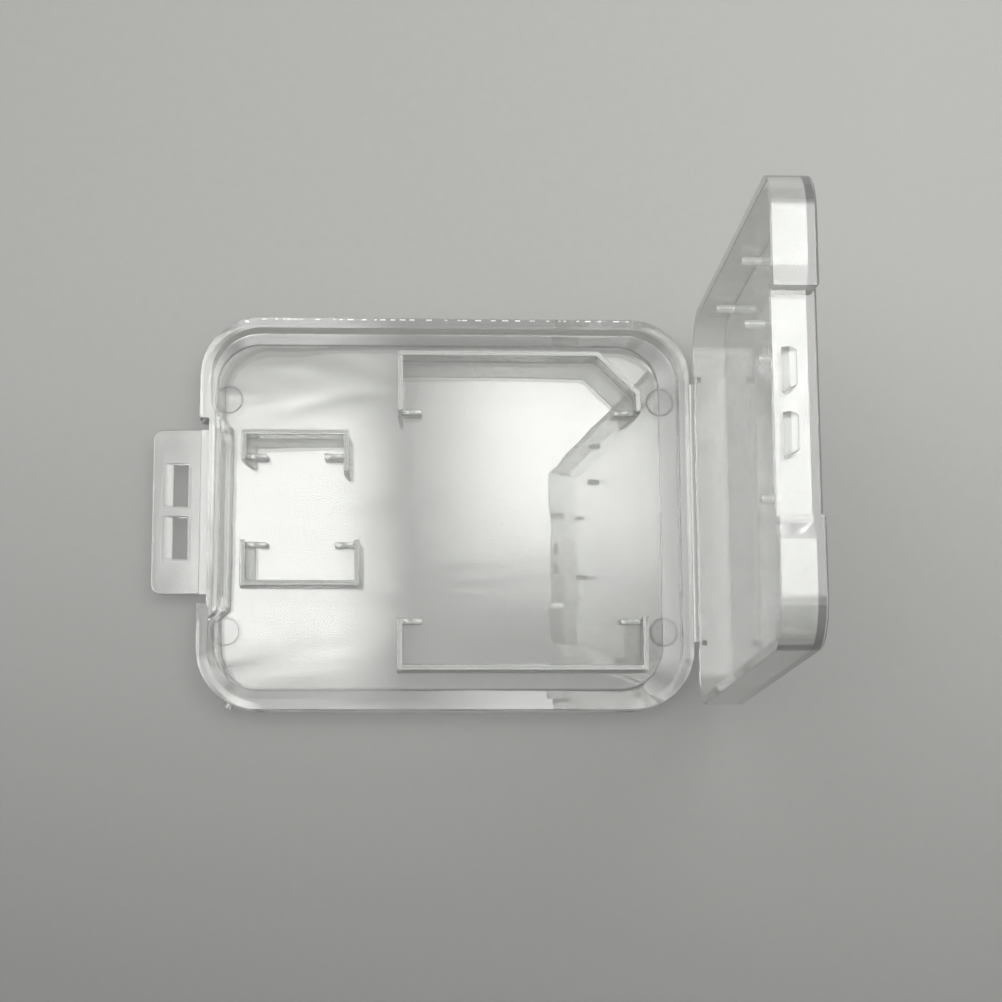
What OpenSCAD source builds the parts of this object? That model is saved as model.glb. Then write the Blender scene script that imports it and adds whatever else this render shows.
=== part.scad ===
// Clear hinged case for one full-size and one micro memory card.
// Sizes are in millimetres. The origin is the middle of the tray's flat underside:
// +X points from the latch to the lid's hinge, +Y along the hinge and +Z up.
// The lid is drawn closed, as it was fitted, and then turned up by a right angle.
// The latch is drawn folded out flat. Each hinge is a thin web of the same plastic.

/* [Cards] */
// Width of the full-size card
card_w = 24; // [20:0.5:28]
// Length of the full-size card
card_l = 32; // [26:0.5:38]
// Thickness of the full-size card
card_t = 2.1; // [1.4:0.1:2.6]
// Corner that is cut off the full-size card
card_cut = 4; // [2:0.25:6]
// Width of the micro card
micro_w = 11; // [9:0.25:13]
// Length of the micro card
micro_l = 15; // [12:0.25:18]
// Thickness of the micro card
micro_t = 1; // [0.6:0.1:1.4]
// How much narrower the micro card is at its contact end
micro_step = 1.15; // [0.5:0.05:2]

/* [Play] */
// Play across the width of the full-size card
card_play_w = 0.5; // [0.2:0.05:1]
// Play along the length of the full-size card
card_play_l = 0.2; // [0.1:0.05:0.6]
// How far the rail at the cut corner stands in to grip the card
card_grip = 0.4; // [0:0.05:0.5]
// Play across the width of the micro card
micro_play_w = 0.1; // [0.05:0.05:0.4]
// Play along the length of the micro card
micro_play_l = 0.15; // [0.05:0.05:0.4]

/* [Tray] */
// Thickness of the tray's floor
floor_t = 0.8; // [0.6:0.05:1.4]
// Height of the tray's wall above its floor
wall_h = 2.6; // [2:0.1:3.6]
// Thickness of the tray's wall
wall_t = 1.1; // [0.7:0.05:1.5]
// Outer radius of the tray's corners, seen from above
corner_r = 6.2; // [3:0.1:7]
// Floor between the latch wall and the micro card's rails
latch_side_gap = 3.15; // [2:0.05:6]
// Floor between the two pockets
middle_gap = 3.85; // [2.5:0.05:8]
// Floor between the full-size card's rails and the hinge wall
hinge_side_gap = 3.6; // [2.5:0.05:7]
// Floor between the full-size card's rails and the north wall
north_gap = 2.4; // [1.5:0.05:6]
// Floor between the full-size card's rails and the south wall
south_gap = 2.8; // [1.5:0.05:6]
// Middle of the micro pocket, north of the tray's middle
micro_shift = 0.4; // [-4:0.1:4]

/* [Rails] */
// Thickness of the rails and of the ledges
rail_t = 0.55; // [0.4:0.05:0.8]
// How far a rail rises above the full-size card that lies in it
card_rail_over = 0.1; // [0.1:0.05:0.6]
// How far a rail rises above the micro card that lies in it
micro_rail_over = 0.6; // [0.2:0.05:1]
// Length of the legs of the full-size card's north rail
card_leg_north = 6.35; // [5.5:0.05:9]
// Length of the legs of the full-size card's south rail
card_leg_south = 5.55; // [3:0.05:9]
// Length of the latch side leg of the micro card's north rail
micro_leg_short = 3.05; // [2.9:0.05:4]
// Length of the other leg of the micro card's north rail
micro_leg_long = 4.35; // [3.5:0.05:6]
// Length of the legs of the micro card's south rail
micro_leg_south = 4.75; // [3:0.05:6]
// From the back of the micro card's north rail to the far side of its ledges
micro_ledge_set = 2.8; // [1.8:0.05:2.9]
// Height of the ledges that the cards rest on
ledge_h = 0.8; // [0.4:0.05:1.2]
// How far a ledge reaches in under the card
ledge_reach = 2; // [1:0.05:3]

/* [Lid] */
// Depth of the lid from its rim to its outer face
lid_h = 3.9; // [3.4:0.1:5]
// Thickness of the lid's flat panel
lid_t = 0.8; // [0.6:0.05:1.2]
// Thickness of the lid's wall
lid_wall_t = 1; // [0.7:0.05:1.4]
// Outer radius of the lid's corners, tighter than the tray's
lid_corner_r = 4.2; // [2.5:0.1:6]
// Gap between the closed lid's rim and the tray's rim
seat_gap = 0.1; // [0.05:0.05:0.3]
// Depth of the recess in the lid's front wall
lid_recess = 1.5; // [1.25:0.05:2]
// Diameter of the pins inside the lid
pin_d = 0.8; // [0.5:0.05:1.2]
// Gap between the closed lid's pins and the full-size card's rails
pin_gap = 0.8; // [0.2:0.05:1.2]
// Distances of the north row of pins from the hinge
pins_north = [10.3, 27, 44.3]; // [5:0.1:45]
// Distances of the south row of pins from the hinge
pins_south = [5.6, 18]; // [5:0.1:45]
// Gap between the two rows of pins and the lid's side walls
pin_row_gap = 0.15; // [0.05:0.05:0.6]
// Pin over the full-size card, east of its rail and north of the middle
card_pin = [2.8, 12.5]; // [1:0.1:16]
// North pin over the micro card's rail, west of its outer face and north of the middle
micro_pin_north = [1.05, 7.2]; // [0:0.05:8]
// South pin over the micro card's rail, west of its outer face and north of the middle
micro_pin_south = [0.35, -5.3]; // [-8:0.05:2]

/* [Lid hinge] */
// How far the hinge's axis lies outside the tray's wall
lid_axis_out = 0.3; // [0.25:0.05:0.6]
// Thickness of both hinge webs
web_t = 0.25; // [0.15:0.05:0.3]
// From the rounded corners to the ends of the lid's hinge web
lid_web_inset = 0.65; // [0.6:0.05:5]
// Width of the relief slots at the ends of the lid's hinge web
relief_w = 0.5; // [0.3:0.05:0.8]

/* [Latch] */
// Length of the latch tab along the wall
latch_l = 17.1; // [13:0.1:22]
// Thickness of the latch tab
latch_t = 0.9; // [0.7:0.05:1.2]
// Radius of the latch tab's outer corners
latch_corner_r = 1.1; // [0.4:0.1:1.6]
// How far the closed latch tab rises above the lid, for a thumb
thumb_lip = 0.25; // [0.1:0.05:1.5]
// Top of the open latch tab, below the tray's rim
latch_drop = 0.9; // [0.6:0.05:1.2]
// Play between the latch tab and the ends of the tray's notch
notch_play = 1.1; // [0.5:0.05:2]
// Depth of the tray's notch for the latch tab
notch_depth = 0.95; // [0.9:0.05:1.3]
// Length of the latch's hinge web from the tray to the tab
latch_web_l = 0.8; // [0.6:0.05:1]

/* [Catches] */
// Length of each catch along the lid, at the rim's side
catch_l = 4; // [2.5:0.1:5]
// How far each end of a catch slopes in towards the lid's panel
catch_taper = 0.5; // [0.2:0.05:0.9]
// Height of each catch where it leaves the lid
catch_h = 1.15; // [0.8:0.05:1.4]
// From the lid's rim to the catches
catch_set = 0.7; // [0.5:0.05:0.9]
// How deep the catches reach into the closed latch tab
catch_bite = 0.5; // [0.3:0.05:0.7]
// Rise of each catch's sloped underside
catch_slope = 0.5; // [0.2:0.05:0.7]
// Play between a catch and the long edges of its window
window_play = 0.15; // [0.1:0.05:0.3]
// Play between a catch and the ends of its window
window_end_play = 0.2; // [0.15:0.05:0.6]
// Width of the bridge between the two windows
bridge_w = 1.1; // [0.8:0.05:2]
// Width of the ramp that leads a catch into its window
ramp_w = 1.1; // [0.6:0.05:1.2]
// Depth of the ramp
ramp_depth = 0.35; // [0.2:0.05:0.5]

/* [Moulding marks] */
// Radius of the round ejector marks on the tray's floor
mark_r = 1.4; // [0.8:0.1:1.6]
// Height of the ejector marks
mark_h = 0.1; // [0.05:0.05:0.2]
// Floor between an ejector mark and the end walls
mark_gap = 0.25; // [0.15:0.05:0.6]
// From the tray's sides to the middle of the ejector marks
mark_set = 8.2; // [5:0.1:10]
// Diameter of the stub left where the plastic was fed in
gate_d = 0.9; // [0.5:0.05:1.4]
// How far the stub stands out
gate_out = 0.5; // [0.1:0.05:0.8]

/* [Hidden] */
$fn = 64;
over = 1;          // how far a cutting shape runs past what it cuts
frosted = [0.88, 0.90, 0.88, 0.7];
webbed = [0.95, 0.96, 0.95, 0.8];
gate_angle = -117; // direction of the stub on the south-west corner

// Outer sizes of the two pockets' rails
card_rails_w = card_w + card_play_w + 2 * rail_t;
card_rails_l = card_l + card_play_l + 2 * rail_t;
micro_rails_w = micro_w + micro_play_w + 2 * rail_t;
micro_rails_l = micro_l + micro_play_l + 2 * rail_t;

// The tray is as large as its walls, its gaps and the two pockets
tray_l = 2 * wall_t + latch_side_gap + micro_rails_w + middle_gap + card_rails_w + hinge_side_gap;
tray_w = 2 * wall_t + north_gap + card_rails_l + south_gap;
tray_h = floor_t + wall_h;
west = -tray_l / 2;
east = tray_l / 2;

// Corners of the pockets, on the outside of the rails
micro_x = west + wall_t + latch_side_gap;
micro_north = micro_shift + micro_rails_l / 2;
micro_south = micro_shift - micro_rails_l / 2;
micro_east = micro_x + micro_rails_w;
card_x = micro_east + middle_gap;
card_north = tray_w / 2 - wall_t - north_gap;
card_south = card_north - card_rails_l;
card_rail_h = ledge_h + card_t + card_rail_over;
micro_rail_h = ledge_h + micro_t + micro_rail_over;

// Heights of the closed lid
lid_rim_z = tray_h + seat_gap;
lid_top_z = lid_rim_z + lid_h;
lid_ceiling_z = lid_top_z - lid_t;
pin_tip_z = floor_t + card_rail_h + pin_gap;

// Axes of the two hinges, which both run along Y
lid_axis_x = east + lid_axis_out;
lid_axis_z = tray_h;
notch_x = west + notch_depth;
latch_axis_x = notch_x - latch_web_l / 2;
latch_top_z = tray_h - latch_drop;
latch_axis_z = latch_top_z - web_t / 2;
notch_l = latch_l + 2 * notch_play;

// The latch tab, measured from its axis, so that it fits the closed lid
tab_root = latch_web_l / 2;
tab_tip = lid_top_z + thumb_lip - latch_axis_z;
window_near = lid_rim_z + catch_set - window_play - latch_axis_z;
window_far = lid_rim_z + catch_set + catch_h + window_play - latch_axis_z;
window_l = catch_l + 2 * window_end_play;
window_y = (bridge_w + window_l) / 2;
closed_tab_x = latch_axis_x + web_t / 2;
catch_foot_x = west + lid_recess;
catch_tip_x = closed_tab_x - catch_bite;

lid_web_l = tray_w - 2 * corner_r - 2 * lid_web_inset;
lid_web_bend = lid_axis_out + seat_gap;

module rounded_rectangle(l, w, r) {
    square([l - 2 * r, w], center = true);
    square([l, w - 2 * r], center = true);
    for (x = [-1, 1], y = [-1, 1]) translate([x * (l / 2 - r), y * (w / 2 - r)]) circle(r);
}

// Outline of the tray or the lid, with corners of radius r, set back at the latch by depth
module case_outline(r, depth) {
    difference() {
        rounded_rectangle(tray_l, tray_w, r);
        translate([west - over, -notch_l / 2]) square([over + depth, notch_l]);
    }
}

// Inside of a wall of thickness t, which bulges inward past the set-back with sloped flanks
module case_inside(r, depth, t) {
    shoulder = notch_l / 2 + t * (sqrt(2) - 1);
    face = west + depth + t;
    run = depth + t;
    difference() {
        rounded_rectangle(tray_l - 2 * t, tray_w - 2 * t, r - t);
        polygon([
            [west, -shoulder - run], [face, -shoulder], [face, shoulder], [west, shoulder + run]
        ]);
    }
}

module base_tray() {
    color(frosted) {
        difference() {
            linear_extrude(tray_h) case_outline(corner_r, notch_depth);
            translate([0, 0, floor_t])
                linear_extrude(wall_h + over) case_inside(corner_r, notch_depth, wall_t);
        }
        ejector_marks();
        gate_stub();
    }
}

module ejector_marks() {
    x = tray_l / 2 - wall_t - mark_gap - mark_r;
    y = tray_w / 2 - mark_set;
    for (side = [-1, 1], end = [-1, 1])
        translate([end * x, side * y, floor_t / 2]) cylinder(r = mark_r, h = floor_t / 2 + mark_h);
}

module gate_stub() {
    translate([west + corner_r, -tray_w / 2 + corner_r, tray_h / 2])
        rotate([0, 0, gate_angle]) translate([corner_r - wall_t / 2, 0, 0])
            rotate([0, 90, 0]) cylinder(d = gate_d, h = wall_t / 2 + gate_out, $fn = 24);
}

// A rail with a back along X and a leg at each end, open towards -Y. The outer corner of its
// back is at the origin. cut is the corner cut off the card, at the right end.
module rail(w, left_leg, right_leg, h, cut = 0) {
    outer_cut = cut + rail_t * (2 - sqrt(2));
    inner_x = w - rail_t;
    outer_corner = cut > 0 ? [[w - outer_cut, 0], [w, -outer_cut]] : [[w, 0]];
    inner_corner = cut > 0
        ? [[inner_x, -rail_t - cut], [inner_x - cut, -rail_t]]
        : [[inner_x, -rail_t]];
    linear_extrude(h) polygon(concat(
        [[0, -left_leg], [0, 0]], outer_corner,
        [[w, -right_leg], [inner_x, -right_leg]], inner_corner,
        [[rail_t, -rail_t], [rail_t, -left_leg]]
    ));
}

// The pair of ledges inside a rail of width w, set back from the rail's back
module ledge_pair(w, set) {
    for (x = [rail_t, w - rail_t - ledge_reach])
        translate([x, -set, 0]) cube([ledge_reach, rail_t, ledge_h]);
}

// Places a rail with its back to the north, or turned over with its back to the south
module at_north(x, y) { translate([x, y, floor_t]) children(); }
module at_south(x, y) { translate([x, y, floor_t]) mirror([0, 1, 0]) children(); }

module card_rail_north() {
    color(frosted) at_north(card_x, card_north)
        rail(card_rails_w - card_grip, card_leg_north, card_leg_north, card_rail_h, card_cut);
}

module card_rail_south() {
    color(frosted) at_south(card_x, card_south)
        rail(card_rails_w, card_leg_south, card_leg_south, card_rail_h);
}

module card_ledges() {
    color(frosted) {
        at_north(card_x, card_north) ledge_pair(card_rails_w - card_grip, card_leg_north);
        at_south(card_x, card_south) ledge_pair(card_rails_w, card_leg_south);
    }
}

module micro_rail_north() {
    color(frosted) at_north(micro_x, micro_north)
        rail(micro_rails_w - micro_step, micro_leg_short, micro_leg_long, micro_rail_h);
}

module micro_rail_south() {
    color(frosted) at_south(micro_x, micro_south)
        rail(micro_rails_w, micro_leg_south, micro_leg_south, micro_rail_h);
}

module micro_ledges() {
    color(frosted) {
        at_north(micro_x, micro_north) ledge_pair(micro_rails_w - micro_step, micro_ledge_set);
        at_south(micro_x, micro_south) ledge_pair(micro_rails_w, micro_leg_south);
    }
}

// Turns what is drawn on the closed lid up to where the open lid stands
module standing_open() {
    translate([lid_axis_x, 0, lid_axis_z]) rotate([0, 90, 0])
        translate([-lid_axis_x, 0, -lid_axis_z]) children();
}

module lid_shell() {
    color(frosted) standing_open() difference() {
        translate([0, 0, lid_rim_z]) linear_extrude(lid_h) case_outline(lid_corner_r, lid_recess);
        translate([0, 0, lid_rim_z - over]) linear_extrude(lid_ceiling_z - lid_rim_z + over)
            case_inside(lid_corner_r, lid_recess, lid_wall_t);
        relief_slots();
    }
}

// Slots through the lid's rear wall that let the ends of the web bend
module relief_slots() {
    for (side = [-1, 1])
        translate([east - lid_wall_t - over, side * (lid_web_l + relief_w) / 2 - relief_w / 2,
                   lid_rim_z + web_t])
            cube([lid_wall_t + 2 * over, relief_w, 2 * web_t]);
}

// A pin that hangs from the closed lid's ceiling
module lid_pin(x, y) {
    translate([x, y, pin_tip_z]) cylinder(d = pin_d, h = lid_ceiling_z - pin_tip_z, $fn = 24);
}

module pin_row(distances, side) {
    y = side * (tray_w / 2 - lid_wall_t - pin_row_gap - pin_d / 2);
    for (u = distances) lid_pin(lid_axis_x - u, y);
}

module lid_pins_north() { color(frosted) standing_open() pin_row(pins_north, 1); }
module lid_pins_south() { color(frosted) standing_open() pin_row(pins_south, -1); }

module lid_pins_middle() {
    color(frosted) standing_open() {
        lid_pin(card_x + card_pin[0], card_pin[1]);
        for (p = [micro_pin_north, micro_pin_south]) lid_pin(micro_east - p[0], p[1]);
    }
}

// A catch on the lid's recessed front wall: flat above, sloped below and at both ends
module catch(side) {
    reach = catch_foot_x - catch_tip_x;
    half = catch_l / 2;
    color(frosted) standing_open()
        translate([catch_foot_x, side * window_y, lid_rim_z + catch_set]) intersection() {
            rotate([90, 0, 0]) translate([0, 0, -half]) linear_extrude(catch_l)
                polygon([[0, 0], [0, catch_h], [-reach, catch_h], [-reach, catch_slope]]);
            rotate([90, 0, -90]) linear_extrude(reach) polygon([
                [-half, 0], [half, 0], [half - catch_taper, catch_h], [catch_taper - half, catch_h]
            ]);
        }
}

module catch_north() { catch(1); }
module catch_south() { catch(-1); }

module latch_tab() {
    tip_x = latch_axis_x - tab_tip;
    root_x = latch_axis_x - tab_root;
    body_l = root_x - tip_x - latch_corner_r;
    color(frosted) difference() {
        translate([0, 0, latch_top_z - latch_t]) linear_extrude(latch_t) {
            translate([root_x - body_l, -latch_l / 2]) square([body_l, latch_l]);
            translate([tip_x, -latch_l / 2 + latch_corner_r])
                square([tab_tip - tab_root, latch_l - 2 * latch_corner_r]);
            for (side = [-1, 1])
                translate([tip_x + latch_corner_r, side * (latch_l / 2 - latch_corner_r)])
                    circle(latch_corner_r);
        }
        for (side = [-1, 1]) window_cut(side * window_y);
    }
}

// A window through the latch tab, with the ramp on the side towards the thumb
module window_cut(y) {
    far_x = latch_axis_x - window_far;
    translate([far_x, y - window_l / 2, latch_top_z - latch_t - over])
        cube([window_far - window_near, window_l, latch_t + 2 * over]);
    translate([0, y + window_l / 2, 0]) rotate([90, 0, 0]) linear_extrude(window_l)
        polygon([
            [far_x - ramp_w, latch_top_z], [far_x - ramp_w, latch_top_z + over],
            [far_x, latch_top_z + over], [far_x, latch_top_z - ramp_depth]
        ]);
}

// The lid's web bends through a quarter turn round a line above the tray's rim
module lid_hinge_web() {
    color(webbed) translate([east, lid_web_l / 2, lid_axis_z + lid_axis_out]) rotate([90, 0, 0])
        linear_extrude(lid_web_l) intersection() {
            difference() {
                circle(lid_web_bend + web_t);
                circle(lid_web_bend);
            }
            translate([0, -lid_web_bend - web_t]) square(lid_web_bend + web_t);
        }
}

module latch_hinge_web() {
    color(webbed) translate([latch_axis_x - tab_root, -latch_l / 2, latch_top_z - web_t])
        cube([latch_web_l, latch_l, web_t]);
}

base_tray();
card_rail_north();
card_rail_south();
card_ledges();
micro_rail_north();
micro_rail_south();
micro_ledges();
lid_shell();
lid_pins_north();
lid_pins_middle();
lid_pins_south();
catch_north();
catch_south();
latch_tab();
lid_hinge_web();
latch_hinge_web();
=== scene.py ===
"""Looks of a clear hinged memory card case: moulded leaves, bent webs, plastic, table and light."""

import math
import random

import bmesh
import bpy
from bpy.props import FloatProperty, FloatVectorProperty, PointerProperty
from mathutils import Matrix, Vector


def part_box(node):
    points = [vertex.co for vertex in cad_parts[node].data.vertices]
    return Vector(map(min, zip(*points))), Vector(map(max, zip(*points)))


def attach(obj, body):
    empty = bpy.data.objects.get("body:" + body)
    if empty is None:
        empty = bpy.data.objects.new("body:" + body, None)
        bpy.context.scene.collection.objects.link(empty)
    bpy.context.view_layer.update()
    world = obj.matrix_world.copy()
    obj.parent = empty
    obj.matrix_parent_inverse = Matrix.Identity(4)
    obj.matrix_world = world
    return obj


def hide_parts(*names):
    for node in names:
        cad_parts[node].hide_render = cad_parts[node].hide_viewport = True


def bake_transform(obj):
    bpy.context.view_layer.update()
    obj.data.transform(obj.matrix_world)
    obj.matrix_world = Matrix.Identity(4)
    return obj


bl_info = {
    "name": "Clear Card Case",
    "version": (1, 0, 0),
    "blender": (4, 5, 0),
    "location": "3D View > Sidebar > Card Case",
    "description": "Dresses a clear hinged card case and sets its table, light and camera",
    "category": "Object",
}

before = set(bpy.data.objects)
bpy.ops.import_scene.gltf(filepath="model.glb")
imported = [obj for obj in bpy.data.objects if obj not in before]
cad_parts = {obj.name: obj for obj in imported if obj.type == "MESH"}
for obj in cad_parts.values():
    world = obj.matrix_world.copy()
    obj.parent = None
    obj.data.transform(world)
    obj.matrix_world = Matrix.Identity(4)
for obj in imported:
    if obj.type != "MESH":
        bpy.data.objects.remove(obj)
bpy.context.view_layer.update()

BASE_NODES = (
    "base_tray", "card_rail_north", "card_rail_south", "card_ledges",
    "micro_rail_north", "micro_rail_south", "micro_ledges",
)
LID_NODES = ("lid_shell", "lid_pins_north", "lid_pins_middle", "lid_pins_south")
CATCH_NODES = ("catch_north", "catch_south")

# The bow of the tray's floor, its fold along the walls and its ejector marks, and painted shade along the
# fold, round the marks and towards the north

FLOOR_BOW_RADIUS = 0.105
FOLD_SHIFT, FOLD_X, FOLD_Y, FOLD_CORNER = -0.00065, 0.02305, 0.0181, 0.0045
FOLD_SLOPE = 0.4
# widths of the painted shade along the fold
FOLD_SHADE_CORE, FOLD_SHADE_EDGE = 0.00004, 0.00018
MARK_PLACE = (0.0225, 0.01215, 0)
MARK_RADIUS = 0.0014
RING_CORE, RING_EDGE, DISC_EDGE = 0.00005, 0.00018, 0.0001
# where the painted shade towards the north begins and ends
NORTH_SHADE_START, NORTH_SHADE_END = 0.0165, 0.0185

# The moulding's waves and ripples, and how its plastic bends and passes light

WAVE_HEIGHT, FLOOR_WAVE_HEIGHT, FLOOR_FLOW_HEIGHT = 0.00002, 0.00010, 0.00013
FLOW_STRETCH = (45, 190, 100)
FLOW_FADE_START, FLOW_FADE_END = -0.006, 0.008
LEVEL_FACING = 0.98
PLASTIC_IOR = 1.49
PASSED_AT_A_FACE = (0.80, 0.80, 0.80, 1)

# Webs, flash and mesh limits

WEB_BEND, WEB_THICKNESS, WEB_STEPS = 0.0004, 0.00025, 14
FLASH_REACH, FLASH_INSET, FLASH_WIDTH, FLASH_SINK = 0.019, 0.00024, 0.00012, 0.00003
FLASH_LENGTHS, FLASH_GAPS, FLASH_HEIGHTS = (0.0002, 0.0007), (0.0001, 0.0014), (0.00002, 0.00007)
FLASH_SEED = 7
NUB_PLACE = (-0.0208, 0.0198)
NUB_LENGTH, NUB_WIDTH, NUB_HEIGHT = 0.0004, 0.0002, 0.00007
WELD_DISTANCE, SAME_PLACE = 2e-6, 1e-5
FLAT_ANGLE, SHARP_ANGLE, SMOOTH_ANGLE = math.radians(0.6), math.radians(25), math.radians(34)

# Table, light and camera

TABLE_WIDTH, TABLE_DROP = 8, 0.00002
GRAIN_SHADES = (0.97, 1.03)
WARM_WHITE = (1, 1, 0.985, 1)
ROOM_STRENGTH = 0.25
CEILING_PLACE, CEILING_TARGET = (0.0, 0.45, 1.3), (0.0, 0.45, 0)
CEILING_WIDTH, CEILING_DEPTH, CEILING_STRENGTH = 2.4, 1.8, 1.38
CAMERA_PLACE, CAMERA_TURN = (-0.00693, -0.04499, 0.24412), (0.189, -0.0511, -0.0055)
SENSOR_WIDTH, FOCAL_PIXELS, PICTURE_PIXELS = 36, 2389, 1002
CLIP_START, CLIP_END = 0.01, 10

# Sizes and colours

class CaseSizes(bpy.types.PropertyGroup):
    """Radii of the moulding's rounded edges"""
    edge_round: FloatProperty(
        name="Edge round", description="Radius of the small edges of the moulding",
        default=0.00010, min=0.00002, max=0.0004, unit="LENGTH", precision=5)
    rail_round: FloatProperty(
        name="Rail round", description="Radius of the rails' edges",
        default=0.00008, min=0.00002, max=0.0002, unit="LENGTH", precision=5)
    lid_edge_round: FloatProperty(
        name="Lid outer round", description="Radius of the lid's outer edge, round its panel",
        default=0.0003, min=0.0001, max=0.001, unit="LENGTH", precision=5)


class CaseColours(bpy.types.PropertyGroup):
    """Colours of the plastic and the table"""
    plastic: FloatVectorProperty(
        name="Plastic", description="Colour of the clear plastic",
        default=(0.95, 0.96, 0.94), size=3, subtype="COLOR", min=0, max=1)
    milk: FloatProperty(
        name="Tray milkiness", description="How much of the tray's plastic scatters light",
        default=0.04, min=0, max=1, subtype="FACTOR")
    table: FloatVectorProperty(
        name="Table", description="Colour of the table",
        default=(0.212, 0.212, 0.206), size=3, subtype="COLOR", min=0, max=1)


def sizes():
    return bpy.context.scene.case_sizes


def colours():
    return bpy.context.scene.case_colours


# Shader helpers

NUMBER_RESULTS = ("DISTANCE", "LENGTH", "DOT_PRODUCT")


def node(tree, kind, **values):
    made = tree.nodes.new(kind)
    for key, value in values.items():
        setattr(made, key, value)
    return made


def feed(tree, socket, value):
    """Links another node's output to a socket, or sets the socket to a plain value."""
    if isinstance(value, bpy.types.NodeSocket):
        tree.links.new(value, socket)
    else:
        socket.default_value = value


def calc(tree, operation, *values):
    """The result of a Math node."""
    made = node(tree, "ShaderNodeMath", operation=operation)
    for socket, value in zip(made.inputs, values):
        feed(tree, socket, value)
    return made.outputs["Value"]


def calc_vector(tree, operation, *values):
    """The result of a Vector Math node; the second value of SCALE is its factor."""
    made = node(tree, "ShaderNodeVectorMath", operation=operation)
    sockets = (made.inputs[0], made.inputs["Scale"]) if operation == "SCALE" else made.inputs
    for socket, value in zip(sockets, values):
        feed(tree, socket, value)
    return made.outputs["Value" if operation in NUMBER_RESULTS else "Vector"]


def map_range(tree, value, start, end, at_start, at_end, smooth=False):
    """A value that goes from at_start to at_end while the given one goes from start to end."""
    made = node(tree, "ShaderNodeMapRange", interpolation_type="SMOOTHSTEP" if smooth else "LINEAR")
    for key, given in (("Value", value), ("From Min", start), ("From Max", end),
                       ("To Min", at_start), ("To Max", at_end)):
        feed(tree, made.inputs[key], given)
    return made.outputs["Result"]


def noise(tree, place, **values):
    """A Noise Texture's factor at a place, with its other sockets given by name."""
    made = node(tree, "ShaderNodeTexNoise")
    feed(tree, made.inputs["Vector"], place)
    for key, value in values.items():
        feed(tree, made.inputs[key.title()], value)
    return made.outputs["Fac"]


def own_place(tree):
    return node(tree, "ShaderNodeTexCoord").outputs["Object"]


def split(tree, vector):
    """The X, Y and Z outputs for a vector."""
    made = node(tree, "ShaderNodeSeparateXYZ")
    feed(tree, made.inputs[0], vector)
    return made.outputs


def turn_normal(tree, normal, start, end):
    """A normal carried from one space to another."""
    made = node(tree, "ShaderNodeVectorTransform", vector_type="NORMAL", convert_from=start, convert_to=end)
    feed(tree, made.inputs[0], normal)
    return made.outputs[0]


# The node group of moulded plastic

def surface_height(g, here, given):
    """Slow waves everywhere, and flow ripples that are strongest in the west half."""
    waves = noise(g, here, scale=given["Wave Size"], detail=1.0, roughness=0.4)
    stretched = node(g, "ShaderNodeMapping")
    stretched.inputs["Scale"].default_value = FLOW_STRETCH
    feed(g, stretched.inputs["Vector"], here)
    flow = noise(g, stretched.outputs[0], scale=1.0, detail=1.0, distortion=0.8)
    fade = map_range(
        g, split(g, here)["X"], FLOW_FADE_START, FLOW_FADE_END, at_start=1.0, at_end=0.25, smooth=True)
    ripple_height = calc(g, "MULTIPLY", given["Flow Height"], fade)
    wave_height = calc(g, "MULTIPLY", waves, given["Wave Height"])
    return calc(g, "MULTIPLY_ADD", flow, ripple_height, wave_height)


def bowed_normal(g, here, normal, facing, bow):
    """A level face leans outwards in step with its distance from the middle, as a bowed floor does."""
    upward = split(g, facing)["Z"]
    is_level = calc(g, "GREATER_THAN", calc(g, "ABSOLUTE", upward), LEVEL_FACING)
    signed = calc(g, "MULTIPLY", is_level, calc(g, "SIGN", upward))
    from_middle = calc_vector(g, "MULTIPLY", here, (1, 1, 0))
    lean = calc_vector(g, "SCALE", from_middle, calc(g, "MULTIPLY", signed, bow))
    bowed = calc_vector(g, "ADD", normal, lean)
    return calc_vector(g, "NORMALIZE", turn_normal(g, bowed, "OBJECT", "WORLD"))


def painted_wall_shade(g, facing, given):
    """Painted shade: a leaf's walls are given a darker colour than its panel, which faces along Panel Axis.
    """
    along = calc_vector(g, "DOT_PRODUCT", facing, given["Panel Axis"])
    return map_range(
        g, calc(g, "ABSOLUTE", along), start=0.75, end=0.35, at_start=1.0, at_end=given["Side Clearness"])


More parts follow.
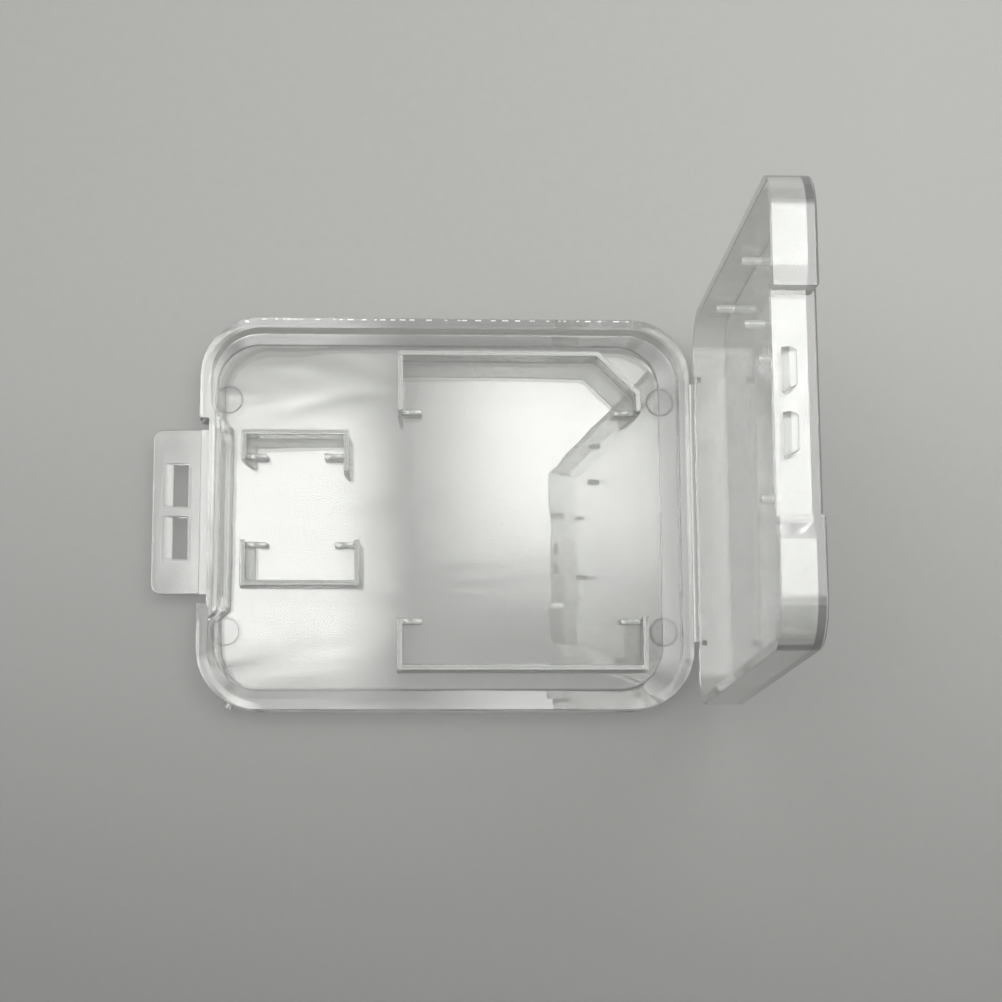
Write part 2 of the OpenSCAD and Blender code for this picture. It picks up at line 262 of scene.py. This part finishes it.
def moulded_group():
    """Waves, ripples, bow, faint clouding and painted shade on the walls of moulded plastic, in the piece's
    own space.
    """
    name = "MouldedPlasticSurface"
    if name in bpy.data.node_groups:
        return bpy.data.node_groups[name]
    g = bpy.data.node_groups.new(name, "ShaderNodeTree")
    sockets = g.interface
    for label, default in (("Wave Size", 60.0), ("Wave Height", WAVE_HEIGHT), ("Flow Height", 0.0),
                           ("Bow", 0.0), ("Cloud Size", 120.0), ("Roughness", 0.1),
                           ("Roughness Spread", 0.05), ("Tint Spread", 0.05), ("Side Clearness", 1.0)):
        sockets.new_socket(label, in_out="INPUT", socket_type="NodeSocketFloat").default_value = default
    sockets.new_socket("Tint", in_out="INPUT", socket_type="NodeSocketColor")
    sockets.new_socket("Panel Axis", in_out="INPUT", socket_type="NodeSocketVector")
    for label, kind in (("Color", "NodeSocketColor"), ("Roughness", "NodeSocketFloat"),
                        ("Height", "NodeSocketFloat"), ("Normal", "NodeSocketVector")):
        sockets.new_socket(label, in_out="OUTPUT", socket_type=kind)
    given = node(g, "NodeGroupInput").outputs
    result = node(g, "NodeGroupOutput").inputs
    here = own_place(g)
    feed(g, result["Height"], surface_height(g, here, given))

    # normals are turned into the piece's own space, so that they stay right when a leaf swings
    geometry = node(g, "ShaderNodeNewGeometry").outputs
    facing = turn_normal(g, geometry["True Normal"], "WORLD", "OBJECT")
    normal = turn_normal(g, geometry["Normal"], "WORLD", "OBJECT")
    feed(g, result["Normal"], bowed_normal(g, here, normal, facing, given["Bow"]))

    cloud = calc(g, "SUBTRACT", noise(g, here, scale=given["Cloud Size"], detail=4.0), 0.5)
    roughness = calc(g, "MULTIPLY_ADD", cloud, given["Roughness Spread"], given["Roughness"])
    feed(g, result["Roughness"], roughness)
    # random clouding varies the tone, and painted shade darkens the walls
    tint = calc(g, "MULTIPLY_ADD", cloud, given["Tint Spread"], 1.0)
    shade = calc(g, "MULTIPLY", tint, painted_wall_shade(g, facing, given))
    feed(g, result["Color"], calc_vector(g, "SCALE", given["Tint"], shade))
    return g


# Plastics

def pass_light(t, shader):
    """Light on its way to the table passes straight through the walls and loses a part at each face."""
    path = node(t, "ShaderNodeLightPath").outputs
    either = node(t, "ShaderNodeMixShader")
    passing = node(t, "ShaderNodeBsdfTransparent")
    passing.inputs["Color"].default_value = PASSED_AT_A_FACE
    feed(t, either.inputs["Fac"], calc(t, "MAXIMUM", path["Is Shadow Ray"], path["Is Diffuse Ray"]))
    feed(t, either.inputs[1], shader.outputs[0])
    feed(t, either.inputs[2], passing.outputs[0])
    feed(t, t.nodes["Material Output"].inputs["Surface"], either.outputs[0])


def plastic(name, clearness, milk, roughness, spread=0.04, wave_height=WAVE_HEIGHT, flow_height=0.0,
            bow=0.0, painted_side_shade=1.0, axis=(0, 0, 1)):
    """Clear, slightly milky moulded plastic, whose walls get painted shade."""
    if name in bpy.data.materials:
        return bpy.data.materials[name]
    m = bpy.data.materials.new(name)
    m.use_nodes = True
    t = m.node_tree
    shader = t.nodes["Principled BSDF"]
    surface = node(t, "ShaderNodeGroup", node_tree=moulded_group())
    tint = (*(clearness * part for part in colours().plastic), 1)
    for key, value in (("Tint", tint), ("Roughness", roughness), ("Roughness Spread", spread),
                       ("Wave Height", wave_height), ("Flow Height", flow_height), ("Bow", bow),
                       ("Side Clearness", painted_side_shade), ("Panel Axis", axis)):
        surface.inputs[key].default_value = value
    bump = node(t, "ShaderNodeBump")
    bump.inputs["Distance"].default_value = 1.0
    feed(t, bump.inputs["Height"], surface.outputs["Height"])
    feed(t, bump.inputs["Normal"], surface.outputs["Normal"])
    feed(t, shader.inputs["Base Color"], surface.outputs["Color"])
    feed(t, shader.inputs["Roughness"], surface.outputs["Roughness"])
    feed(t, shader.inputs["Normal"], bump.outputs["Normal"])
    shader.inputs["Transmission Weight"].default_value = 1 - milk
    shader.inputs["IOR"].default_value = PLASTIC_IOR
    pass_light(t, shader)
    return m


def ejector_marks_with_painted_rings(t, here):
    """Ejector marks at the same place in each quarter of the floor: a thin dark ring of painted shade at
    each mark's rim, round a slightly darker disc.
    """
    quarter = calc_vector(t, "MULTIPLY", calc_vector(t, "ABSOLUTE", here), (1, 1, 0))
    offset = calc(t, "SUBTRACT", calc_vector(t, "DISTANCE", quarter, MARK_PLACE), MARK_RADIUS)
    painted_ring_shade = map_range(
        t, calc(t, "ABSOLUTE", offset), RING_CORE, RING_EDGE, at_start=0.62, at_end=1.0, smooth=True)
    disc = map_range(t, offset, -DISC_EDGE, 0.0, at_start=0.88, at_end=1.0)
    return calc(t, "MULTIPLY", painted_ring_shade, disc)


def past_fold(t, here):
    """Distance past the fold, a line along the walls, nearer to the west wall than to the east one."""
    from_middle = calc_vector(t, "SUBTRACT", here, (FOLD_SHIFT, 0, 0))
    # a metre in z is more than any height here, so only x and y count
    inside = (FOLD_X - FOLD_CORNER, FOLD_Y - FOLD_CORNER, 1)
    beyond = calc_vector(t, "SUBTRACT", calc_vector(t, "ABSOLUTE", from_middle), inside)
    reach = calc_vector(t, "LENGTH", calc_vector(t, "MAXIMUM", beyond))
    return calc(t, "SUBTRACT", reach, FOLD_CORNER)


def tray_plastic():
    """The tray's plastic: a bowed floor that folds up at the walls, ejector marks, and painted shade along
    the fold, round the marks and towards the north.
    """
    m = plastic("TrayPlastic", clearness=0.97, milk=colours().milk, roughness=0.02, spread=0.02,
                wave_height=FLOOR_WAVE_HEIGHT, flow_height=FLOOR_FLOW_HEIGHT,
                bow=1 / FLOOR_BOW_RADIUS, painted_side_shade=0.92)
    t = m.node_tree
    if "Marked" in t.nodes:
        return m
    here = own_place(t)
    past = past_fold(t, here)
    height = t.nodes["Bump"].inputs["Height"]
    rise = calc(t, "MAXIMUM", past, 0.0)
    feed(t, height, calc(t, "MULTIPLY_ADD", rise, FOLD_SLOPE, height.links[0].from_socket))
    # painted shade: a dark line along the fold, where the floor turns up into the walls
    from_line = calc(t, "ABSOLUTE", past)
    painted_fold_shade = map_range(
        t, from_line, FOLD_SHADE_CORE, FOLD_SHADE_EDGE, at_start=0.52, at_end=1.0, smooth=True)
    # painted shade: the tray's colour darkens towards the north wall
    north = map_range(
        t, split(t, here)["Y"], NORTH_SHADE_START, NORTH_SHADE_END, at_start=1.0, at_end=0.86)
    painted_marks_and_fold_shade = calc(t, "MULTIPLY", ejector_marks_with_painted_rings(t, here), painted_fold_shade)
    colour = t.nodes["Principled BSDF"].inputs["Base Color"]
    colour_with_painted_shade = calc_vector(t, "SCALE", colour.links[0].from_socket, calc(t, "MULTIPLY", painted_marks_and_fold_shade, north))
    colour_with_painted_shade.node.name = "Marked"
    feed(t, colour, colour_with_painted_shade)
    return m


def tab_plastic():
    return plastic("TabPlastic", clearness=0.88, milk=0.08, roughness=0.05,
                   wave_height=FLOOR_WAVE_HEIGHT, bow=1 / FLOOR_BOW_RADIUS, painted_side_shade=0.85)


def rail_plastic():
    return plastic("RailPlastic", clearness=0.88, milk=0.08, roughness=0.06, painted_side_shade=0.68)


def lid_plastic():
    return plastic("LidPlastic", clearness=0.96, milk=0.10, roughness=0.07, painted_side_shade=0.84, axis=(1, 0, 0))


def pin_plastic():
    return plastic("PinPlastic", clearness=0.75, milk=0.25, roughness=0.15)


def catch_plastic():
    return plastic("CatchPlastic", clearness=0.90, milk=0.05, roughness=0.30)


def flash_plastic():
    return plastic("FlashPlastic", clearness=1.0, milk=0.80, roughness=0.50)


def web_plastic():
    return plastic("WhitenedWeb", clearness=0.9, milk=0.15, roughness=0.2)


# Mesh helpers

def node_shape(name):
    """A CAD node's closed surface as one bmesh of flat faces."""
    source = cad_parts[name]
    bm = bmesh.new()
    bm.from_mesh(source.data)
    bm.transform(source.matrix_world)
    bmesh.ops.remove_doubles(bm, verts=bm.verts, dist=WELD_DISTANCE)
    bmesh.ops.dissolve_limit(bm, angle_limit=FLAT_ANGLE, verts=bm.verts, edges=bm.edges, delimit=set())
    return bm


def sharp_edges(bm):
    return [e for e in bm.edges if len(e.link_faces) == 2 and e.calc_face_angle(0) > SHARP_ANGLE]


def round_edges(bm, edges, radius, segments=2):
    bmesh.ops.bevel(
        bm, geom=edges, offset=radius, offset_type="OFFSET", segments=segments, profile=0.5,
        affect="EDGES", clamp_overlap=True, miter_outer="SHARP")


def finish_piece(bm, name, body, material, slot, *nodes):
    """Makes a piece of the model; a web has no body of its own, and flash replaces no node."""
    for f in bm.faces:
        f.smooth = True
    for e in bm.edges:
        e.smooth = e.calc_face_angle(0) < SMOOTH_ANGLE
    data = bpy.data.meshes.new(name)
    bm.to_mesh(data)
    bm.free()
    piece = bpy.data.objects.new(name, data)
    bpy.context.scene.collection.objects.link(piece)
    data.materials.append(material)
    if body:
        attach(piece, body)
    if nodes:
        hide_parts(*nodes)
    weighted = piece.modifiers.new("WeightedNormals", "WEIGHTED_NORMAL")
    weighted.keep_sharp = True
    return piece


def tooth(bm, x, y, z, length, width, height):
    """A small tent-shaped tooth that stands on the level z and is sunk a little into it."""
    foot = z - FLASH_SINK
    corners = [bm.verts.new((x + i * length, y + j * width, foot))
               for i, j in ((0, 0), (1, 0), (1, 1), (0, 1))]
    ridge = [bm.verts.new((x + i * length, y + width / 2, z + height)) for i in (0.25, 0.75)]
    a, b, c, d = corners
    west, east = ridge
    for face in ((a, d, c, b), (a, b, east, west), (c, d, west, east), (b, c, east), (d, a, west)):
        bm.faces.new(face)


def bent_strip(name, pairs, south, north, replaced):
    """A web as a closed strip: pairs of inner and outer points along the bend, drawn from south to north."""
    bm = bmesh.new()
    rings = []
    for inner, outer in pairs:
        rings.append([bm.verts.new((p.x, y, p.z)) for p, y in (
            (inner, south), (outer, south), (outer, north), (inner, north))])
    for a, b in zip(rings, rings[1:]):
        for i in range(4):
            j = (i + 1) % 4
            bm.faces.new((a[i], a[j], b[j], b[i]))
    bm.faces.new(rings[0])
    bm.faces.new(rings[-1][::-1])
    bmesh.ops.recalc_face_normals(bm, faces=bm.faces)
    return finish_piece(bm, name, None, web_plastic(), "bent_web", replaced)


# Pieces

class CASE_OT_tray(bpy.types.Operator):
    """Moulds the tray, its rails and its ledges"""
    bl_idname = "card_case.tray"
    bl_label = "Tray and rails"

    def execute(self, context):
        for name in BASE_NODES:
            bm = node_shape(name)
            radius = sizes().edge_round if name == "base_tray" else sizes().rail_round
            round_edges(bm, sharp_edges(bm), radius)
            look = tray_plastic() if name == "base_tray" else rail_plastic()
            finish_piece(bm, name + "_moulding", "base", look, "clear_plastic", name)
        self.add_flash()
        return {"FINISHED"}

    def add_flash(self):
        """Ragged flash along the top of the north wall, and a nub at the north-west corner"""
        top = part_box("base_tray")[1]
        draw = random.Random(FLASH_SEED)
        bm = bmesh.new()
        x = -FLASH_REACH
        while x < FLASH_REACH:
            length = draw.uniform(*FLASH_LENGTHS)
            tooth(bm, x, top.y - FLASH_INSET, top.z, length, FLASH_WIDTH, draw.uniform(*FLASH_HEIGHTS))
            x += length + draw.uniform(*FLASH_GAPS)
        tooth(bm, *NUB_PLACE, top.z, NUB_LENGTH, NUB_WIDTH, NUB_HEIGHT)
        bmesh.ops.recalc_face_normals(bm, faces=bm.faces)
        finish_piece(bm, "north_rim_flash", "base", flash_plastic(), "clear_plastic")


class CASE_OT_lid(bpy.types.Operator):
    """Moulds the lid, its pins and its catches"""
    bl_idname = "card_case.lid"
    bl_label = "Lid"

    def execute(self, context):
        for name in LID_NODES + CATCH_NODES:
            bm = node_shape(name)
            if name == "lid_shell":
                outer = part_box(name)[1].x
                rim = [e for e in sharp_edges(bm)
                       if all(abs(v.co.x - outer) < SAME_PLACE for v in e.verts)]
                round_edges(bm, rim, sizes().lid_edge_round, segments=4)
            round_edges(bm, sharp_edges(bm), sizes().edge_round)
            look = lid_plastic() if name == "lid_shell" else pin_plastic()
            if name in CATCH_NODES:
                look = catch_plastic()
            finish_piece(bm, name + "_moulding", "lid", look, "clear_plastic", name)
        return {"FINISHED"}


class CASE_OT_latch(bpy.types.Operator):
    """Moulds the latch tab with its windows"""
    bl_idname = "card_case.latch"
    bl_label = "Latch tab"

    def execute(self, context):
        bm = node_shape("latch_tab")
        round_edges(bm, sharp_edges(bm), sizes().edge_round)
        finish_piece(bm, "latch_tab_moulding", "latch", tab_plastic(), "clear_plastic", "latch_tab")
        return {"FINISHED"}


class CASE_OT_webs(bpy.types.Operator):
    """Makes the two living hinges' webs between their leaves: a bent one for the lid and a flat one for the
    latch
    """
    bl_idname = "card_case.webs"
    bl_label = "Hinge webs"

    def execute(self, context):
        self.add_lid_web()
        self.add_latch_web()
        return {"FINISHED"}

    def add_lid_web(self):
        """A quarter bend from the tray's side up to the lid's foot"""
        low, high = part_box("lid_hinge_web")
        inner = WEB_BEND
        outer = WEB_BEND + WEB_THICKNESS
        centre = Vector((high.x - outer, 0, low.z + outer))
        arc = []
        for i in range(WEB_STEPS + 1):
            turn = math.pi / 2 * i / WEB_STEPS
            out = Vector((math.sin(turn), 0, -math.cos(turn)))
            arc.append((centre + out * inner, centre + out * outer))
        lid_web = bent_strip("lid_hinge_web_strip", arc, low.y, high.y, "lid_hinge_web")
        # both ends of the bend lie at the web's inner corners, so each end stays on its own leaf
        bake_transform(lid_web)

    def add_latch_web(self):
        """A flat strip from the tray's west side out to the latch tab"""
        low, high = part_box("latch_hinge_web")
        flat = []
        for i in range(WEB_STEPS + 1):
            x = high.x + (low.x - high.x) * i / WEB_STEPS
            flat.append((Vector((x, 0, high.z)), Vector((x, 0, low.z))))
        latch_web = bent_strip("latch_hinge_web_strip", flat, low.y, high.y, "latch_hinge_web")
        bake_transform(latch_web)


# Table, light and camera

def area_light(name, place, target, width, depth, power):
    data = bpy.data.lights.new(name, "AREA")
    data.shape = "RECTANGLE"
    data.size, data.size_y = width, depth
    data.energy = power
    lamp = bpy.data.objects.new(name, data)
    bpy.context.scene.collection.objects.link(lamp)
    lamp.location = place
    lamp.rotation_euler = (Vector(target) - Vector(place)).to_track_quat("-Z", "Y").to_euler()


def level_sheet(name, place, width, depth, material):
    """A flat, level sheet with its middle at the place."""
    bm = bmesh.new()
    bmesh.ops.create_grid(bm, x_segments=1, y_segments=1, size=0.5)
    bmesh.ops.scale(bm, vec=(width, depth, 1), verts=bm.verts)
    data = bpy.data.meshes.new(name)
    bm.to_mesh(data)
    bm.free()
    data.materials.append(material)
    sheet = bpy.data.objects.new(name, data)
    bpy.context.scene.collection.objects.link(sheet)
    sheet.location = place
    return sheet


def card_glow(name, width, depth, strength, soft_x, soft_y):
    """A glow that is full in the middle and fades to nothing at the edges, over soft_x and soft_y."""
    m = bpy.data.materials.new(name)
    m.use_nodes = True
    t = m.node_tree
    t.nodes.remove(t.nodes["Principled BSDF"])
    here = split(t, own_place(t))
    masks = []
    for axis, half, soft in (("X", width / 2, soft_x), ("Y", depth / 2, soft_y)):
        away = calc(t, "ABSOLUTE", here[axis])
        masks.append(map_range(t, away, half, half - soft, at_start=0.0, at_end=1.0, smooth=True))
    glow = node(t, "ShaderNodeEmission")
    glow.inputs["Color"].default_value = WARM_WHITE
    feed(t, glow.inputs["Strength"], calc(t, "MULTIPLY", calc(t, "MULTIPLY", *masks), strength))
    through = node(t, "ShaderNodeBsdfTransparent")
    glow_and_through = node(t, "ShaderNodeAddShader")
    feed(t, glow_and_through.inputs[0], glow.outputs[0])
    feed(t, glow_and_through.inputs[1], through.outputs[0])
    feed(t, t.nodes["Material Output"].inputs["Surface"], glow_and_through.outputs[0])
    return m


def light_card(name, place, width, depth, strength, soft_x, soft_y):
    """A level sheet over the table whose glow is soft at its edges."""
    glow = card_glow(name, width, depth, strength, soft_x, soft_y)
    card = level_sheet(name, place, width, depth, glow)


def table_material():
    """A pale, fine-grained table top, with painted shade that darkens it towards the south and painted light
    that brightens it a little towards the east.
    """
    m = bpy.data.materials.new("PaleTable")
    m.use_nodes = True
    t = m.node_tree
    shader = t.nodes["Principled BSDF"]
    here = own_place(t)
    ramp = node(t, "ShaderNodeValToRGB")
    for element, shade in zip(ramp.color_ramp.elements, GRAIN_SHADES):
        element.color = (*(shade * part for part in colours().table), 1)
    feed(t, ramp.inputs["Fac"], noise(t, here, scale=900, detail=3))
    # painted light and shade: the colour falls towards the south and rises towards the east
    place = split(t, here)
    painted_light_northward = map_range(t, place["Y"], start=-0.07, end=0.03, at_start=0.55, at_end=1.05, smooth=True)
    painted_light_eastward = map_range(t, place["X"], start=-0.05, end=0.05, at_start=0.96, at_end=1.18)
    fade = calc(t, "MULTIPLY", painted_light_northward, painted_light_eastward)
    feed(t, shader.inputs["Base Color"], calc_vector(t, "SCALE", ramp.outputs["Color"], fade))
    shader.inputs["Roughness"].default_value = 0.7
    shader.inputs["Specular IOR Level"].default_value = 0.3
    return m


class CASE_OT_stage(bpy.types.Operator):
    """Sets the table, the soft studio light and the camera"""
    bl_idname = "card_case.stage"
    bl_label = "Table, light and camera"

    def execute(self, context):
        table = level_sheet("table", (0, 0, -TABLE_DROP), TABLE_WIDTH, TABLE_WIDTH, table_material())
        self.add_light(context.scene)
        self.add_camera(context.scene)
        return {"FINISHED"}

    def add_light(self, scene):
        scene.world = bpy.data.worlds.new("SoftRoom")
        scene.world.use_nodes = True
        room = scene.world.node_tree.nodes["Background"].inputs
        room["Color"].default_value = WARM_WHITE
        room["Strength"].default_value = ROOM_STRENGTH
        power = CEILING_STRENGTH * math.pi * CEILING_WIDTH * CEILING_DEPTH
        area_light("ceiling", CEILING_PLACE, CEILING_TARGET, CEILING_WIDTH, CEILING_DEPTH, power)
        light_card("west_card", place=(-0.40, 0.15, 1.0), width=0.72, depth=1.16, strength=7.2,
                   soft_x=0.24, soft_y=0.42)
        light_card("east_card", place=(0.37, 0.375, 1.0), width=0.98, depth=1.05, strength=7.6,
                   soft_x=0.42, soft_y=0.45)

    def add_camera(self, scene):
        lens = bpy.data.cameras.new("camera")
        lens.sensor_width = SENSOR_WIDTH
        lens.lens = FOCAL_PIXELS / PICTURE_PIXELS * SENSOR_WIDTH
        lens.clip_start, lens.clip_end = CLIP_START, CLIP_END
        camera = bpy.data.objects.new("camera", lens)
        scene.collection.objects.link(camera)
        camera.location = CAMERA_PLACE
        camera.rotation_euler = CAMERA_TURN
        scene.camera = camera
        scene.view_settings.view_transform = "Standard"


class CASE_PT_panel(bpy.types.Panel):
    """Lists the sizes, the colours and the pieces"""
    bl_idname = "CASE_PT_panel"
    bl_label = "Card Case"
    bl_space_type = "VIEW_3D"
    bl_region_type = "UI"
    bl_category = "Card Case"

    def draw(self, context):
        layout = self.layout
        for group in (context.scene.case_sizes, context.scene.case_colours):
            for key in group.bl_rna.properties.keys():
                if key not in ("rna_type", "name"):
                    layout.prop(group, key)
        for step in OPERATORS:
            layout.operator(step.bl_idname)


OPERATORS = (CASE_OT_tray, CASE_OT_lid, CASE_OT_latch, CASE_OT_webs, CASE_OT_stage)
CLASSES = (CaseSizes, CaseColours, *OPERATORS, CASE_PT_panel)


def register():
    for c in CLASSES:
        bpy.utils.register_class(c)
    bpy.types.Scene.case_sizes = PointerProperty(type=CaseSizes)
    bpy.types.Scene.case_colours = PointerProperty(type=CaseColours)


def unregister():
    del bpy.types.Scene.case_sizes
    del bpy.types.Scene.case_colours
    for c in reversed(CLASSES):
        bpy.utils.unregister_class(c)


def main():
    register()
    bpy.ops.card_case.tray()
    bpy.ops.card_case.lid()
    bpy.ops.card_case.latch()
    bpy.ops.card_case.webs()
    bpy.ops.card_case.stage()


if __name__ == "__main__":
    main()
